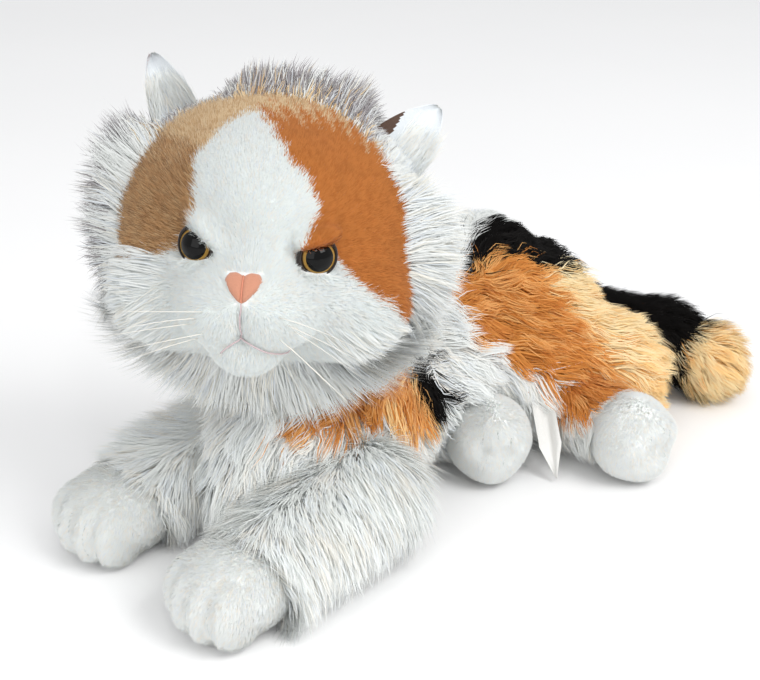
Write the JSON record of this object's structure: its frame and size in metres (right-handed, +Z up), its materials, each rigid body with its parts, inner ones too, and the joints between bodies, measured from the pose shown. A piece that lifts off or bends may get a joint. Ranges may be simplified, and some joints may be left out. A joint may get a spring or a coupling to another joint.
{
  "type": "plush cat",
  "caption": "Long-haired calico plush cat lying on its chest, head raised and turned to its left, with soft-jointed neck, ears, legs and tail.",
  "frame": {"origin": "middle of the flat belly patch the cat rests on", "axes": "+Z up, the cat faces -Y, its own left is +X; the tail end is towards +Y"},
  "size_m": [0.2176, 0.4694, 0.2684],
  "materials": {
    "long_pile_white": "long combed pile",
    "long_pile_orange": "long combed pile",
    "long_pile_black": "long combed pile",
    "face_plush": "short dense pile, white with orange patches",
    "short_plush_white": "short dense pile",
    "ear_plush_brown": "short pile",
    "ear_plush_orange": "short pile",
    "polyester_fill": "loose fibre",
    "bean_sack": "woven cotton sack of plastic beans",
    "sewing_thread": "matte thread",
    "mouth_thread": "matte thread",
    "pink_suede": "matte suede",
    "nylon_hair": "thin nylon hair",
    "eye_lens": "clear glossy dome over a black pupil",
    "eye_base": "painted amber",
    "washer_plastic": "moulded",
    "black_felt": "felt",
    "white_satin": "blank satin tab"
  },
  "bodies": {
    "torso": {"belly_panel": "long_pile_white", "body_panel_left": "long_pile_orange", "body_panel_right": "long_pile_orange", "body_stuffing": "polyester_fill", "bean_bag": "bean_sack", "closing_stitches": "sewing_thread", "sewn_in_label": "white_satin"},
    "neck": {"neck_sleeve": "long_pile_white", "neck_stuffing": "polyester_fill"},
    "head": {"face_panel": "face_plush", "head_back_panel": "long_pile_white", "head_stuffing": "polyester_fill", "muzzle_cover": "short_plush_white", "muzzle_stuffing": "polyester_fill", "chin_cover": "short_plush_white", "nose_patch": "pink_suede", "mouth_thread": "mouth_thread", "whiskers_left": "nylon_hair", "whiskers_right": "nylon_hair", "eye_lens_left": "eye_lens", "eye_base_left": "eye_base", "eye_washer_left": "washer_plastic", "eye_liner_left": "black_felt", "eye_lens_right": "eye_lens", "eye_base_right": "eye_base", "eye_washer_right": "washer_plastic", "eye_liner_right": "black_felt"},
    "ear_left": {"ear_left_front": "short_plush_white", "ear_left_back": "ear_plush_brown"},
    "ear_right": {"ear_right_front": "short_plush_white", "ear_right_back": "ear_plush_orange"},
    "foreleg_left": {"foreleg_left_sleeve": "long_pile_white", "foreleg_left_paw_cover": "short_plush_white", "foreleg_left_stuffing": "polyester_fill", "foreleg_left_toe_threads": "sewing_thread"},
    "foreleg_right": {"foreleg_right_sleeve": "long_pile_white", "foreleg_right_paw_cover": "short_plush_white", "foreleg_right_stuffing": "polyester_fill", "foreleg_right_toe_threads": "sewing_thread"},
    "hindleg_left": {"hindleg_left_sleeve": "long_pile_orange", "hindleg_left_paw_cover": "short_plush_white", "hindleg_left_stuffing": "polyester_fill", "hindleg_left_toe_threads": "sewing_thread"},
    "hindleg_right": {"hindleg_right_sleeve": "long_pile_white", "hindleg_right_paw_cover": "short_plush_white", "hindleg_right_stuffing": "polyester_fill", "hindleg_right_toe_threads": "sewing_thread"},
    "tail": {"tail_sleeve": "long_pile_black", "tail_tip_cover": "long_pile_orange", "tail_stuffing": "polyester_fill"}
  },
  "joints": [
    {"name": "neck_turn", "type": "hinge", "parent": "torso", "child": "neck", "pos_m": [0, -0.088, 0.122], "axis": [0, 0, 1], "range_deg": [-18, 18], "stiffness_Nm_per_rad": 0.6},
    {"name": "head_nod", "type": "hinge", "parent": "neck", "child": "head", "pos_m": [0, -0.088, 0.122], "axis": [0.7547, 0.6561, 0], "range_deg": [-8, 8], "stiffness_Nm_per_rad": 2},
    {"name": "ear_left_fold", "type": "hinge", "parent": "head", "child": "ear_left", "pos_m": [0.0299, -0.05308, 0.21999], "axis": [-0.6115, -0.1694, 0.7729], "range_deg": [-15, 15], "stiffness_Nm_per_rad": 0.03},
    {"name": "ear_right_fold", "type": "hinge", "parent": "head", "child": "ear_right", "pos_m": [-0.04767, -0.12455, 0.23378], "axis": [-0.5036, -0.8094, -0.3019], "range_deg": [-15, 15], "stiffness_Nm_per_rad": 0.03},
    {"name": "foreleg_left_swing", "type": "hinge", "parent": "torso", "child": "foreleg_left", "pos_m": [0.046, -0.088, 0.038], "axis": [0, 0, 1], "range_deg": [-4, 14], "stiffness_Nm_per_rad": 0.5},
    {"name": "foreleg_right_swing", "type": "hinge", "parent": "torso", "child": "foreleg_right", "pos_m": [-0.046, -0.088, 0.038], "axis": [0, 0, 1], "range_deg": [-14, 4], "stiffness_Nm_per_rad": 0.5},
    {"name": "hindleg_left_swing", "type": "hinge", "parent": "torso", "child": "hindleg_left", "pos_m": [0.044, 0.084, 0.031], "axis": [0, 0, 1], "range_deg": [-9, 9], "stiffness_Nm_per_rad": 0.4},
    {"name": "hindleg_right_swing", "type": "hinge", "parent": "torso", "child": "hindleg_right", "pos_m": [0.015, 0.04, 0.029], "axis": [0, 0, 1], "range_deg": [-9, 5], "stiffness_Nm_per_rad": 0.4},
    {"name": "tail_swing", "type": "hinge", "parent": "torso", "child": "tail", "pos_m": [0.004, 0.158, 0.045], "axis": [0, 0, 1], "range_deg": [-12, 12], "stiffness_Nm_per_rad": 0.4}
  ]
}
